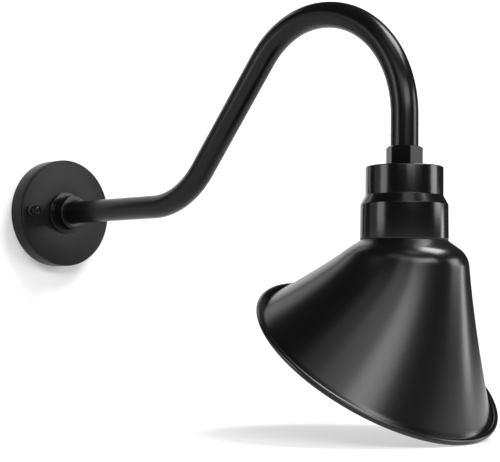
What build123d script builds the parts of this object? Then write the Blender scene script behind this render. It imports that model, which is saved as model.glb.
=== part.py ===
from build123d import *
import os
from math import cos, pi, radians, sin, sqrt, tan

# Gooseneck wall sconce. Millimetres. The wall is the plane X = 0, +X points into the room, +Z up.
# The origin is the centre of the canopy on the wall. The arm lies in the plane Y = 0.

os.makedirs("parts", exist_ok=True)

# ---- driving dimensions: wall end ----
gasket_thickness = 1.6
gasket_width = 6.0
gasket_setback = 0.2
canopy_diameter = 128.4
canopy_depth = 22.2
canopy_wall = 1.3
canopy_edge_radius = 1.5
canopy_groove_width = 0.8
canopy_groove_depth = 0.45
canopy_groove_setback = 2.2
canopy_hole_play = 0.3

bar_thickness = 2.0
bar_width = 20.0
bar_half_length = 56.0
bar_centre_radius = 18.2
bar_centre_hole_radius = 13.0
box_screw_spacing = 88.9
box_slot_width = 4.8
box_slot_length = 12.0

stud_spacing = 101.6
stud_radius = 2.05
stud_fit = 0.05
stud_hole_radius = 2.7
stud_tip_chamfer = 0.5
stud_tip_gap = 0.6
seal_thickness = 1.0
seal_radius = 6.0
seal_play = 0.1
ball_radius = 6.0
ball_neck_radius = 4.2
ball_neck_length = 1.6
ball_bore_depth = 7.0

ground_screw_offset = 25.0
ground_screw_radius = 2.0
ground_head_radius = 4.2
ground_head_height = 3.0
ground_slot = 1.0
terminal_plate_thickness = 0.8
terminal_plate_radius = 4.0
terminal_barrel_length = 6.0
terminal_barrel_wall = 0.5
terminal_barrel_gap = 0.1
terminal_barrel_roof = 2.0
terminal_play = 0.1

hub_flange_radius = 25.5
hub_flange_thickness = 2.2
hub_radius = 20.6
hub_height = 17.0
hub_edge = 1.2
hub_flange_edge = 0.9
set_screw_radius = 2.5
set_screw_fit = 0.05
set_screw_setback = 7.5
set_screw_recess = 0.8
set_screw_hex = 2.5
set_screw_hex_depth = 2.5
hub_washer_radius = 22.0
hub_washer_thickness = 1.3
hub_washer_play = 0.2
locknut_radius = 17.8
locknut_lug_reach = 21.5
locknut_thickness = 4.0
locknut_lugs = 6
locknut_lug_width = 5.0

# ---- driving dimensions: arm ----
arm_radius = 13.0
arm_wall = 1.8
arm_fit = 0.05
arm_back_x = 13.6
run_out_x = 185.5
rise_radius = 100.0
rise_angle = 50.6
climb_length = 141.0
front_crown_radius = 95.0
back_crown_radius = 110.5
crown_flat = 1.0
arm_end_z = -2.0
bushing_flange = 1.2
bushing_sleeve = 8.0
bushing_wall = 2.4
bushing_fit = 0.05
bushing_flange_inset = 0.3

# ---- driving dimensions: leads ----
lead_radius = 1.25
lead_side = 2.6
lead_low = -1.6
ground_lead_high = 2.8
lead_bend_radius = 6.0
lead_bend_gap = 0.5
lead_fit = 0.02
lead_tip_gap = 0.4
splice_angle = 45.0
splice_start = 24.0
splice_length = 20.0
splice_mouth_radius = 5.2
splice_tip_radius = 3.2
splice_socket = 5.0

# ---- driving dimensions: head ----
cap_top_z = 20.9
cap_upper_radius = 36.2
cap_step_top_z = -5.9
cap_step_bottom_z = -14.4
cap_lower_radius = 40.8
cap_mouth_radius = 41.1
cap_bottom_z = -46.6
cap_edge = 1.2
cap_step_edge = 0.8
cap_roof = 4.4
cap_upper_wall = 2.6
cap_lower_wall = 1.6
cap_inner_draft = 0.3
cap_lug_inset = 0.6
boss_radius = 18.0
boss_bottom_z = -1.0
pillar_radius = 3.6
pillar_spacing = 49.0

nut_wall = 2.2
nut_height = 19.0
nut_turn = 25.0
nut_gap = 0.05
nut_chamfer_angle = 30.0
nut_chamfer_inset = 0.4

cap_gasket_thickness = 0.8
cap_gasket_setback = 0.3
cap_gasket_play = 0.1
ledge_setback = 0.5
collar_radius = 39.2
collar_wall = 1.2
collar_height = 10.2
collar_flange_inner_radius = 29.0
collar_flange_thickness = 1.2
shade_screw_count = 3
shade_screw_circle_radius = 34.6
shade_screw_start_angle = 90.0
shade_screw_radius = 1.75
shade_screw_head_radius = 3.2
shade_screw_head_height = 2.2
shade_screw_length = 8.0
shade_screw_play = 0.1
shade_screw_edge = 0.7
screw_fit = 0.05
blind_hole_gap = 1.0

# ---- driving dimensions: shade ----
shade_wall = 1.2
crown_slope = 34.65
shoulder_radius = 21.5
front_lean = 2.0
side_pinch = 0.089
rim_centre_x = 506.8
rim_centre_z = -158.1
rim_tilt = 34.26
rim_radius = 125.3
cone_foot_radius = 118.4
bead_radius = 2.9
gutter_thickness = 1.2
gutter_seat = 0.67
side_wall_factor = 1.25
shade_stations = 22
foot_overrun = 5.0

# ---- driving dimensions: lamp socket ----
socket_radius = 19.8
socket_mouth_z = -40.5
socket_top_z = -12.2
socket_shoulder = 2.0
socket_lip = 1.0
socket_cavity_radius = 13.95
socket_floor_z = -17.6
shell_inner_radius = 13.2
shell_wall = 0.7
shell_mouth_z = -39.6
shell_top_z = -21.4
strap_thickness = 1.2
strap_width = 11.0
strap_screw_radius = 1.5
strap_screw_head_radius = 3.0
strap_screw_head_height = 2.0
strap_screw_length = 8.0
strap_screw_edge = 0.6
strap_play = 0.1
rivet_spacing = 16.0
rivet_radius = 1.5
rivet_head_radius = 2.6
rivet_head_height = 0.9
terminal_offset = 14.4
terminal_screw_radius = 1.6
terminal_head_radius = 3.4
terminal_head_height = 2.2
terminal_screw_length = 6.0
terminal_slot = 0.9
terminal_hole_gap = 0.5
tongue_root_y = -7.5
tongue_length = 11.0
tongue_width = 6.0
tongue_thickness = 0.5
tongue_corner = 1.5
tongue_droop = 10.0
tongue_gap = 0.3
socket_lead_bend = 1.6
socket_lead_gap = 0.3
socket_lead_drop = 0.6
socket_lead_play = 0.05

# Cuts start and end this far outside the faces that they pass.
cut_margin = 1.0

# ---- worked out from the driving dimensions ----
canopy_radius = canopy_diameter / 2
canopy_face_x = gasket_thickness + canopy_depth
canopy_inner_face_x = canopy_face_x - canopy_wall
gasket_inner_radius = canopy_radius - gasket_width
arm_bore_radius = arm_radius - arm_wall
arm_hole_radius = arm_radius + arm_fit
nut_across_flats = 2 * (arm_radius + nut_wall)
hub_front_x = canopy_face_x + hub_height
set_screw_x = hub_front_x - set_screw_setback
washer_back_x = canopy_inner_face_x - hub_washer_thickness
locknut_back_x = washer_back_x - locknut_thickness
ball_nut_back_x = canopy_face_x + seal_thickness
ball_centre_x = ball_nut_back_x + ball_neck_length + sqrt(ball_radius**2 - ball_neck_radius**2)
stud_end_x = ball_nut_back_x + ball_bore_depth - stud_tip_gap
climb_start_x = run_out_x + rise_radius * sin(radians(rise_angle))
climb_start_z = rise_radius * (1 - cos(radians(rise_angle)))
crown_front_x = climb_start_x + climb_length * cos(radians(rise_angle))
crown_front_z = climb_start_z + climb_length * sin(radians(rise_angle))
arm_top_x = crown_front_x + front_crown_radius * sin(radians(rise_angle))
arm_top_z = crown_front_z + front_crown_radius * (1 - cos(radians(rise_angle)))
head_x = arm_top_x + crown_flat + back_crown_radius
cap_inner_upper_radius = cap_upper_radius - cap_upper_wall
cap_inner_lower_radius = cap_mouth_radius - cap_lower_wall
cap_roof_z = cap_top_z - cap_roof
strap_top_z = socket_top_z + strap_thickness
ledge_z = cap_bottom_z - cap_gasket_thickness
ledge_radius = cap_mouth_radius - ledge_setback
collar_top_z = ledge_z + collar_height
flange_z = collar_top_z - collar_flange_thickness
lead_end_z = arm_end_z - bushing_flange - lead_tip_gap
lead_turn_x = arm_back_x - bushing_flange - lead_bend_radius - lead_bend_gap


def wall_plane(x, y=0.0, z=0.0):
    """A plane parallel to the wall. Its local axes are Y and Z, and it faces the room."""
    return Plane(origin=(x, y, z), x_dir=(0, 1, 0), z_dir=(1, 0, 0))


def level_plane(z, x=head_x, y=0.0):
    """A level plane, on the head's axis unless another place is given."""
    return Plane(origin=(x, y, z), x_dir=(1, 0, 0), z_dir=(0, 0, 1))


head_section = Plane(origin=(head_x, 0, 0), x_dir=(1, 0, 0), z_dir=(0, -1, 0))
head_axis = Axis((head_x, 0, 0), (0, 0, 1))


def save(part, name):
    part.label = name
    export_step(part, f"parts/{name}.step")


# ---- wall gasket: foam ring cut from sheet ----
with BuildPart() as wall_gasket:
    with BuildSketch(wall_plane(0)):
        Circle(canopy_radius - gasket_setback)
        Circle(gasket_inner_radius, mode=Mode.SUBTRACT)
    extrude(amount=gasket_thickness)
save(wall_gasket.part, "wall_gasket")

# ---- canopy: drawn steel cup with a groove behind its front edge ----
with BuildPart() as canopy:
    with BuildSketch(wall_plane(gasket_thickness)):
        Circle(canopy_radius)
    extrude(amount=canopy_depth)
    fillet(canopy.faces().sort_by(Axis.X)[-1].edges(), canopy_edge_radius)
    offset(amount=-canopy_wall, openings=canopy.faces().sort_by(Axis.X)[0])
    with BuildSketch(wall_plane(canopy_face_x - canopy_groove_setback - canopy_groove_width)):
        Circle(canopy_radius + cut_margin)
        Circle(canopy_radius - canopy_groove_depth, mode=Mode.SUBTRACT)
    extrude(amount=canopy_groove_width, mode=Mode.SUBTRACT)
    with BuildSketch(wall_plane(canopy_inner_face_x - cut_margin)):
        Circle(arm_hole_radius + canopy_hole_play)
        with Locations((-stud_spacing / 2, 0), (stud_spacing / 2, 0)):
            Circle(stud_hole_radius)
    extrude(amount=canopy_wall + 2 * cut_margin, mode=Mode.SUBTRACT)
save(canopy.part, "canopy")

# ---- mounting bar: stamped cross with tapped stud holes and slots for the box screws ----
with BuildPart() as mounting_bar:
    with BuildSketch(wall_plane(0)):
        SlotOverall(2 * bar_half_length, bar_width)
        SlotOverall(2 * bar_half_length, bar_width, rotation=90)
        Circle(bar_centre_radius)
        Circle(bar_centre_hole_radius, mode=Mode.SUBTRACT)
        with Locations((-stud_spacing / 2, 0), (stud_spacing / 2, 0)):
            Circle(stud_radius + stud_fit, mode=Mode.SUBTRACT)
        with Locations((0, -box_screw_spacing / 2), (0, box_screw_spacing / 2)):
            SlotOverall(box_slot_length, box_slot_width, rotation=90, mode=Mode.SUBTRACT)
        with Locations((0, ground_screw_offset)):
            Circle(ground_screw_radius + stud_fit, mode=Mode.SUBTRACT)
    extrude(amount=bar_thickness)
save(mounting_bar.part, "mounting_bar")

# ---- studs: two threaded rods screwed into the bar ----
with BuildPart() as canopy_studs:
    with BuildSketch(wall_plane(0)):
        with Locations((-stud_spacing / 2, 0), (stud_spacing / 2, 0)):
            Circle(stud_radius)
    extrude(amount=stud_end_x)
    chamfer(canopy_studs.faces().filter_by(Axis.X).group_by(Axis.X)[-1].edges(), stud_tip_chamfer)
save(canopy_studs.part, "canopy_studs")

# ---- stud seals: rubber washers between canopy and ball nuts ----
with BuildPart() as stud_seals:
    with BuildSketch(wall_plane(canopy_face_x)):
        with Locations((-stud_spacing / 2, 0), (stud_spacing / 2, 0)):
            Circle(seal_radius)
            Circle(stud_radius + seal_play, mode=Mode.SUBTRACT)
    extrude(amount=seal_thickness)
save(stud_seals.part, "stud_seals")

# ---- ball nuts: round cap nuts with a short neck and a blind bore ----
for side, nut_name in ((-1, "ball_nut_left"), (1, "ball_nut_right")):
    stud_y = side * stud_spacing / 2
    nut_bore_radius = stud_radius + stud_fit
    with BuildPart() as ball_nut:
        with BuildSketch(Plane(origin=(0, stud_y, 0), x_dir=(1, 0, 0), z_dir=(0, -1, 0))):
            with BuildLine():
                Polyline(
                    (ball_nut_back_x + ball_bore_depth, 0),
                    (ball_nut_back_x + ball_bore_depth, nut_bore_radius),
                    (ball_nut_back_x, nut_bore_radius),
                    (ball_nut_back_x, ball_neck_radius),
                    (ball_nut_back_x + ball_neck_length, ball_neck_radius),
                )
                ThreePointArc(
                    (ball_nut_back_x + ball_neck_length, ball_neck_radius),
                    (ball_centre_x, ball_radius),
                    (ball_centre_x + ball_radius, 0),
                )
                Line(
                    (ball_centre_x + ball_radius, 0),
                    (ball_nut_back_x + ball_bore_depth, 0),
                )
            make_face()
        revolve(axis=Axis((0, stud_y, 0), (1, 0, 0)))
    save(ball_nut.part, nut_name)

# ---- ground screw: hexagon head screw in the bar, over the ring terminal ----
ground_plane = wall_plane(bar_thickness + terminal_plate_thickness, 0, ground_screw_offset)
with BuildPart() as ground_screw:
    with BuildSketch(wall_plane(0, 0, ground_screw_offset)):
        Circle(ground_screw_radius)
    extrude(amount=bar_thickness + terminal_plate_thickness)
    with BuildSketch(ground_plane):
        RegularPolygon(ground_head_radius, 6)
    extrude(amount=ground_head_height)
    with BuildSketch(ground_plane.offset(ground_head_height)):
        Rectangle(ground_slot, 2 * ground_head_radius)
    extrude(amount=-ground_slot, mode=Mode.SUBTRACT)
save(ground_screw.part, "ground_screw")

# ---- ring terminal: flat ring under the screw with a barrel that grips the ground lead ----
barrel_radius = lead_radius + terminal_barrel_wall
barrel_centre_x = bar_thickness + barrel_radius + terminal_barrel_gap
barrel_top_z = ground_screw_offset - terminal_plate_radius
ground_lead_top_z = barrel_top_z - terminal_barrel_roof
with BuildPart() as ground_terminal:
    with BuildSketch(wall_plane(bar_thickness, 0, ground_screw_offset)):
        Circle(terminal_plate_radius)
        with Locations((0, -terminal_plate_radius)):
            Rectangle(2 * lead_radius, 2 * lead_radius)
        Circle(ground_screw_radius + terminal_play, mode=Mode.SUBTRACT)
    extrude(amount=terminal_plate_thickness)
    with BuildSketch(level_plane(barrel_top_z, barrel_centre_x)):
        Circle(barrel_radius)
    extrude(amount=-terminal_barrel_length)
    with BuildSketch(level_plane(ground_lead_top_z, barrel_centre_x)):
        Circle(lead_radius + lead_fit)
    extrude(amount=-terminal_barrel_length, mode=Mode.SUBTRACT)
save(ground_terminal.part, "ground_terminal")

# ---- hub collar: turned collar with a base flange, bored for the arm ----
hub_section = Plane.XZ
with BuildPart() as hub_collar:
    with BuildSketch(hub_section):
        with BuildLine():
            Polyline(
                (canopy_face_x, arm_hole_radius),
                (canopy_face_x, hub_flange_radius),
                (canopy_face_x + hub_flange_thickness, hub_flange_radius),
                (canopy_face_x + hub_flange_thickness, hub_radius),
                (hub_front_x, hub_radius),
                (hub_front_x, arm_hole_radius),
                close=True,
            )
        make_face()
    revolve(axis=Axis.X)
    rims = hub_collar.edges().filter_by(GeomType.CIRCLE)
    fillet(rims.filter_by(lambda e: abs(e.radius - hub_flange_radius) < 0.01), hub_flange_edge)
    front_rim = hub_collar.faces().sort_by(Axis.X)[-1].edges()
    chamfer(front_rim.filter_by(lambda e: e.radius > arm_hole_radius + hub_edge), hub_edge)
    with BuildSketch(level_plane(0, set_screw_x)):
        Circle(set_screw_radius + set_screw_fit)
    extrude(amount=-hub_flange_radius, mode=Mode.SUBTRACT)
save(hub_collar.part, "hub_collar")

# ---- set screw: hexagon socket screw from below, bearing on the arm ----
set_screw_top_z = -(arm_radius + set_screw_fit)
set_screw_height = hub_radius - arm_radius - set_screw_recess
with BuildPart() as hub_set_screw:
    with BuildSketch(level_plane(set_screw_top_z, set_screw_x)):
        Circle(set_screw_radius)
    extrude(amount=-set_screw_height)
    with BuildSketch(level_plane(set_screw_top_z - set_screw_height, set_screw_x)):
        RegularPolygon(set_screw_hex / 2, 6)
    extrude(amount=set_screw_hex_depth, mode=Mode.SUBTRACT)
save(hub_set_screw.part, "hub_set_screw")

# ---- washer and lugged nut on the arm's threaded end, behind the canopy ----
with BuildPart() as hub_washer:
    with BuildSketch(wall_plane(washer_back_x)):
        Circle(hub_washer_radius)
        Circle(arm_radius + hub_washer_play, mode=Mode.SUBTRACT)
    extrude(amount=hub_washer_thickness)
save(hub_washer.part, "hub_washer")

with BuildPart() as hub_lock_nut:
    with BuildSketch(wall_plane(locknut_back_x)):
        Circle(locknut_radius)
        with PolarLocations(locknut_radius, locknut_lugs):
            Rectangle(2 * (locknut_lug_reach - locknut_radius), locknut_lug_width)
        Circle(arm_hole_radius, mode=Mode.SUBTRACT)
    extrude(amount=locknut_thickness)
save(hub_lock_nut.part, "hub_lock_nut")


def arm_corners(shift):
    """Corners of the arm's centreline, moved sideways in its own plane, and their bend radii.

    A positive shift lies above the first run, and outside the crown and the drop.
    """
    half_rise = tan(radians(rise_angle / 2))
    top_z = arm_top_z + shift
    first_bend = (run_out_x + rise_radius * half_rise - shift * half_rise, shift)
    crown_x = arm_top_x - front_crown_radius * half_rise - shift * half_rise
    second_bend = (crown_x, top_z)
    third_bend = (head_x + shift, top_z)
    radii = [rise_radius - shift, front_crown_radius + shift, back_crown_radius + shift]
    return [first_bend, second_bend, third_bend], radii


# ---- gooseneck arm: one steel tube, bent up from the wall and over to hang straight down ----
bends, bend_radii = arm_corners(0)
with BuildPart() as gooseneck_arm:
    with BuildLine(Plane.XZ) as arm_route:
        FilletPolyline((arm_back_x, 0), *bends, (head_x, arm_end_z), radius=bend_radii)
    with BuildSketch(wall_plane(arm_back_x)):
        Circle(arm_radius)
        Circle(arm_bore_radius, mode=Mode.SUBTRACT)
    sweep(path=arm_route.wires()[0])
save(gooseneck_arm.part, "gooseneck_arm")

# ---- bushings: plastic bushes pressed into both cut ends of the arm ----
sleeve_radius = arm_bore_radius - bushing_fit
bushing_bore = sleeve_radius - bushing_wall
for plane, bush_name in (
    (wall_plane(arm_back_x), "hub_bushing"),
    (level_plane(arm_end_z), "arm_end_bushing"),
):
    with BuildPart() as bushing:
        with BuildSketch(plane):
            Circle(sleeve_radius)
            Circle(bushing_bore, mode=Mode.SUBTRACT)
        extrude(amount=bushing_sleeve)
        with BuildSketch(plane):
            Circle(arm_radius - bushing_flange_inset)
            Circle(bushing_bore, mode=Mode.SUBTRACT)
        extrude(amount=-bushing_flange)
    save(bushing.part, bush_name)


# ---- leads: three insulated wires through the whole arm ----
def lead_route(y, shift, tail_direction, tail_length):
    """The centreline of a lead from its tail in the canopy to the arm's lower end.

    It leaves the bushing, turns flat against the wall side and runs out to its splice.
    """
    corners, radii = arm_corners(shift)
    dy = tail_direction[0] * tail_length
    dz = tail_direction[1] * tail_length
    points = [(lead_turn_x, y + dy, shift + dz), (lead_turn_x, y, shift)]
    points += [(cx, y, cz) for cx, cz in corners]
    points.append((head_x + shift, y, lead_end_z))
    return points, [lead_bend_radius] + radii


splice_dy = cos(radians(splice_angle))
splice_dz = -sin(radians(splice_angle))
lead_plan = (
    ("lead_black", lead_side, lead_low, (splice_dy, splice_dz), splice_start + splice_socket),
    ("lead_white", -lead_side, lead_low, (-splice_dy, splice_dz), splice_start + splice_socket),
)
for lead_name, y, shift, direction, tail in lead_plan:
    points, radii = lead_route(y, shift, direction, tail)
    with BuildPart() as lead:
        with BuildLine() as route:
            FilletPolyline(*points, radius=radii)
        with BuildSketch(Plane(origin=points[0], z_dir=route.wires()[0] % 0)):
            Circle(lead_radius)
        sweep(path=route.wires()[0])
    save(lead.part, lead_name)

corners, radii = arm_corners(ground_lead_high)
ground_points = [(barrel_centre_x, 0, ground_lead_top_z), (barrel_centre_x, 0, ground_lead_high)]
ground_points += [(cx, 0, cz) for cx, cz in corners]
ground_points.append((head_x + ground_lead_high, 0, lead_end_z))
with BuildPart() as lead_ground:
    with BuildLine() as route:
        FilletPolyline(*ground_points, radius=[lead_bend_radius] + radii)
    with BuildSketch(Plane(origin=ground_points[0], z_dir=(0, 0, -1))):
        Circle(lead_radius)
    sweep(path=route.wires()[0])
save(lead_ground.part, "lead_ground")

# ---- splice caps: plastic twist caps on the two supply leads, inside the canopy ----
with BuildPart() as splice_caps:
    for side in (-1, 1):
        outward = (0, side * splice_dy, splice_dz)
        mouth = Plane(
            origin=(
                lead_turn_x,
                side * (lead_side + splice_dy * splice_start),
                lead_low + splice_dz * splice_start,
            ),
            x_dir=(1, 0, 0),
            z_dir=outward,
        )
        with BuildSketch(mouth):
            Circle(splice_mouth_radius)
        with BuildSketch(mouth.offset(splice_length)):
            Circle(splice_tip_radius)
        loft()
        with BuildSketch(mouth):
            Circle(lead_radius + lead_fit)
        extrude(amount=splice_socket, mode=Mode.SUBTRACT)
save(splice_caps.part, "splice_caps")

# ---- aim lock nut: hexagon nut with chamfered corners on the arm's end thread ----
nut_bottom_z = cap_top_z + nut_gap
nut_corner_radius = nut_across_flats / 2 / cos(radians(30))
nut_slope = tan(radians(nut_chamfer_angle))
nut_chamfer_start = nut_across_flats / 2 - nut_chamfer_inset
nut_drop = (nut_corner_radius + cut_margin - nut_chamfer_start) * nut_slope
with BuildPart() as aim_lock_nut:
    with BuildSketch(level_plane(nut_bottom_z)):
        RegularPolygon(nut_corner_radius, 6, rotation=nut_turn)
        Circle(arm_hole_radius, mode=Mode.SUBTRACT)
    extrude(amount=nut_height)
    with BuildSketch(head_section):
        with BuildLine():
            Polyline(
                (nut_chamfer_start, nut_bottom_z + nut_height),
                (nut_corner_radius + cut_margin, nut_bottom_z + nut_height - nut_drop),
                (nut_corner_radius + cut_margin, nut_bottom_z + nut_height),
                close=True,
            )
        make_face()
    revolve(axis=head_axis, mode=Mode.SUBTRACT)
save(aim_lock_nut.part, "aim_lock_nut")

# ---- shade cap: cast cap with two diameters, a threaded boss, two pillars and three lugs ----
cap_lug_radius = cap_inner_lower_radius - shade_screw_circle_radius - cap_lug_inset
cap_lug_web = cap_inner_lower_radius - shade_screw_circle_radius + cap_lug_inset
cap_lug_height = cap_step_bottom_z - cap_lug_inset - collar_top_z
with BuildPart() as shade_cap:
    with BuildSketch(head_section):
        with BuildLine():
            Polyline(
                (arm_hole_radius, cap_top_z),
                (cap_upper_radius, cap_top_z),
                (cap_upper_radius, cap_step_top_z),
                (cap_lower_radius, cap_step_bottom_z),
                (cap_mouth_radius, cap_bottom_z),
                (cap_inner_lower_radius, cap_bottom_z),
                (cap_inner_lower_radius - cap_inner_draft, cap_step_bottom_z),
                (cap_inner_upper_radius, cap_step_top_z),
                (cap_inner_upper_radius, cap_roof_z),
                (boss_radius, cap_roof_z),
                (boss_radius, boss_bottom_z),
                (arm_hole_radius, boss_bottom_z),
                close=True,
            )
        make_face()
    revolve(axis=head_axis)
    top_rim = shade_cap.faces().sort_by(Axis.Z)[-1].edges().filter_by(lambda e: e.radius > boss_radius)
    fillet(top_rim, cap_edge)
    step_rim = shade_cap.edges().filter_by(GeomType.CIRCLE)
    fillet(step_rim.filter_by(lambda e: abs(e.radius - cap_lower_radius) < 0.01), cap_step_edge)
    with BuildSketch(level_plane(strap_top_z)):
        with Locations((-pillar_spacing / 2, 0), (pillar_spacing / 2, 0)):
            Circle(pillar_radius)
    extrude(amount=cap_roof_z - strap_top_z + cut_margin)
    with BuildSketch(level_plane(collar_top_z)):
        with PolarLocations(shade_screw_circle_radius, shade_screw_count, shade_screw_start_angle):
            Circle(cap_lug_radius)
            with Locations((cap_lug_web / 2, 0)):
                Rectangle(cap_lug_web, 2 * cap_lug_radius)
    extrude(amount=cap_lug_height)
    with BuildSketch(level_plane(strap_top_z)):
        with Locations((-pillar_spacing / 2, 0), (pillar_spacing / 2, 0)):
            Circle(strap_screw_radius + screw_fit)
    extrude(amount=strap_screw_length + blind_hole_gap, mode=Mode.SUBTRACT)
    with BuildSketch(level_plane(collar_top_z)):
        with PolarLocations(shade_screw_circle_radius, shade_screw_count, shade_screw_start_angle):
            Circle(shade_screw_radius + screw_fit)
    extrude(amount=shade_screw_length + blind_hole_gap, mode=Mode.SUBTRACT)
save(shade_cap.part, "shade_cap")

# ---- cap gasket: thin rubber ring under the cap's lower edge ----
with BuildPart() as cap_gasket:
    with BuildSketch(level_plane(ledge_z)):
        Circle(cap_mouth_radius - cap_gasket_setback)
        Circle(collar_radius + cap_gasket_play, mode=Mode.SUBTRACT)
    extrude(amount=cap_gasket_thickness)
save(cap_gasket.part, "cap_gasket")

# ---- shade: level under the cap, tilted at the rim, round at the front shoulder ----
# Its side view has a straight back line and a front line of crown, shoulder arc and wall.
# Cross-sections join equal fractions of both lines, from the level ledge to the tilted foot.
# They are evenly spaced, which keeps the lofted skins free of swells.
tilt = radians(rim_tilt)
rim_across = (cos(tilt), -sin(tilt))
rim_up = (sin(tilt), cos(tilt))
foot_drop = gutter_thickness / 2
foot_x = rim_centre_x - foot_drop * rim_up[0]
foot_z = rim_centre_z - foot_drop * rim_up[1]
foot_back = (foot_x - cone_foot_radius * rim_across[0], foot_z - cone_foot_radius * rim_across[1])
foot_front = (foot_x + cone_foot_radius * rim_across[0], foot_z + cone_foot_radius * rim_across[1])
ledge_back = (head_x - ledge_radius, ledge_z)
ledge_front = (head_x + ledge_radius, ledge_z)

slope = radians(crown_slope)
lean = radians(front_lean)
crown_direction = (cos(slope), -sin(slope))
front_direction = (sin(lean), -cos(lean))
shoulder_turn = pi / 2 - lean - slope
shoulder_tangent = shoulder_radius * tan(shoulder_turn / 2)
span_x = foot_front[0] - ledge_front[0]
span_z = foot_front[1] - ledge_front[1]
crossing = crown_direction[0] * front_direction[1] - crown_direction[1] * front_direction[0]
crown_to_corner = (span_x * front_direction[1] - span_z * front_direction[0]) / crossing
front_to_corner = (crown_direction[0] * span_z - crown_direction[1] * span_x) / crossing
crown_length = crown_to_corner - shoulder_tangent
front_length = front_to_corner - shoulder_tangent
shoulder_length = shoulder_radius * shoulder_turn
outline_length = crown_length + shoulder_length + front_length
shoulder_centre = (
    ledge_front[0] + crown_length * crown_direction[0] - shoulder_radius * sin(slope),
    ledge_front[1] + crown_length * crown_direction[1] - shoulder_radius * cos(slope),
)


def front_point(distance, inset):
    """A point of the front line, at a distance along it from the ledge, moved inward."""
    if distance <= crown_length:
        angle = slope
        along = distance
    elif distance <= crown_length + shoulder_length:
        angle = slope + (distance - crown_length) / shoulder_radius
        along = None
    else:
        angle = pi / 2 - lean
        along = distance - crown_length - shoulder_length
    out = (sin(angle), cos(angle))
    if along is None:
        reach = shoulder_radius - inset
        return (shoulder_centre[0] + reach * out[0], shoulder_centre[1] + reach * out[1])
    if angle == slope:
        base = (ledge_front[0] + along * crown_direction[0], ledge_front[1] + along * crown_direction[1])
    else:
        base = (
            shoulder_centre[0] + shoulder_radius * out[0] + along * front_direction[0],
            shoulder_centre[1] + shoulder_radius * out[1] + along * front_direction[1],
        )
    return (base[0] - inset * out[0], base[1] - inset * out[1])


def back_point(fraction, inset):
    """A point of the straight back line, at a fraction of its length, moved inward."""
    dx = foot_back[0] - ledge_back[0]
    dz = foot_back[1] - ledge_back[1]
    length = sqrt(dx**2 + dz**2)
    out = (dz / length, -dx / length)
    return (
        ledge_back[0] + fraction * dx - inset * out[0],
        ledge_back[1] + fraction * dz - inset * out[1],
    )


def shade_station(distance, inset):
    """The plane and the two half-widths of the shade's cross-section through one front point."""
    fraction = distance / outline_length
    front = front_point(distance, inset)
    back = back_point(fraction, inset)
    outer_front = front_point(distance, 0)
    outer_back = back_point(fraction, 0)
    outer_half = sqrt((outer_front[0] - outer_back[0]) ** 2 + (outer_front[1] - outer_back[1]) ** 2) / 2
    half = sqrt((front[0] - back[0]) ** 2 + (front[1] - back[1]) ** 2) / 2
    pinch = side_pinch * sin(pi * sqrt(min(fraction, 1.0)))
    side = outer_half * (1 - pinch) - inset * side_wall_factor
    middle = ((front[0] + back[0]) / 2, 0, (front[1] + back[1]) / 2)
    plane = Plane(origin=middle, x_dir=(front[0] - back[0], 0, front[1] - back[1]), z_dir=(
        -(front[1] - back[1]), 0, front[0] - back[0]))
    return plane, half, side


station_distances = [outline_length * i / shade_stations for i in range(shade_stations + 1)]
inner_distances = station_distances[:-1] + [outline_length + foot_overrun]

rim_plane = Plane(
    origin=(rim_centre_x, 0, rim_centre_z),
    x_dir=(rim_across[0], 0, rim_across[1]),
    z_dir=(0, -1, 0),
)
rim_axis = Axis((rim_centre_x, 0, rim_centre_z), (rim_up[0], 0, rim_up[1]))

with BuildPart() as shade:
    for distance in station_distances:
        plane, half, side = shade_station(distance, 0)
        with BuildSketch(plane):
            Ellipse(half, side)
    loft()
    with BuildSketch(level_plane(ledge_z - shade_wall)):
        Circle(collar_radius)
    extrude(amount=collar_height + shade_wall)
    for distance in inner_distances:
        plane, half, side = shade_station(distance, shade_wall)
        with BuildSketch(plane):
            Ellipse(half, side)
    loft(mode=Mode.SUBTRACT)
    with BuildSketch(level_plane(flange_z)):
        Circle(collar_radius - collar_wall)
    extrude(amount=-(flange_z - ledge_z + 3 * shade_wall), mode=Mode.SUBTRACT)
    with BuildSketch(level_plane(flange_z - cut_margin)):
        Circle(collar_flange_inner_radius)
        with PolarLocations(shade_screw_circle_radius, shade_screw_count, shade_screw_start_angle):
            Circle(shade_screw_radius + shade_screw_play)
    extrude(amount=collar_flange_thickness + 2 * cut_margin, mode=Mode.SUBTRACT)
    with BuildSketch(rim_plane):
        bead_centre = rim_radius - bead_radius
        with Locations((bead_centre, 0)):
            Circle(bead_radius)
        gutter_inner = cone_foot_radius - shade_wall * gutter_seat
        with Locations(((gutter_inner + bead_centre) / 2, -gutter_thickness / 2)):
            Rectangle(bead_centre - gutter_inner, gutter_thickness)
    revolve(axis=rim_axis)
save(shade.part, "shade")

# ---- shade screws: pan head screws up through the collar's flange ----
with BuildPart() as shade_screws:
    with BuildSketch(level_plane(flange_z)):
        with PolarLocations(shade_screw_circle_radius, shade_screw_count, shade_screw_start_angle):
            Circle(shade_screw_radius)
    extrude(amount=shade_screw_length)
    with BuildSketch(level_plane(flange_z)):
        with PolarLocations(shade_screw_circle_radius, shade_screw_count, shade_screw_start_angle):
            Circle(shade_screw_head_radius)
    extrude(amount=-shade_screw_head_height)
    chamfer(shade_screws.faces().filter_by(Axis.Z).group_by(Axis.Z)[0].edges(), shade_screw_edge)
save(shade_screws.part, "shade_screws")

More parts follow.
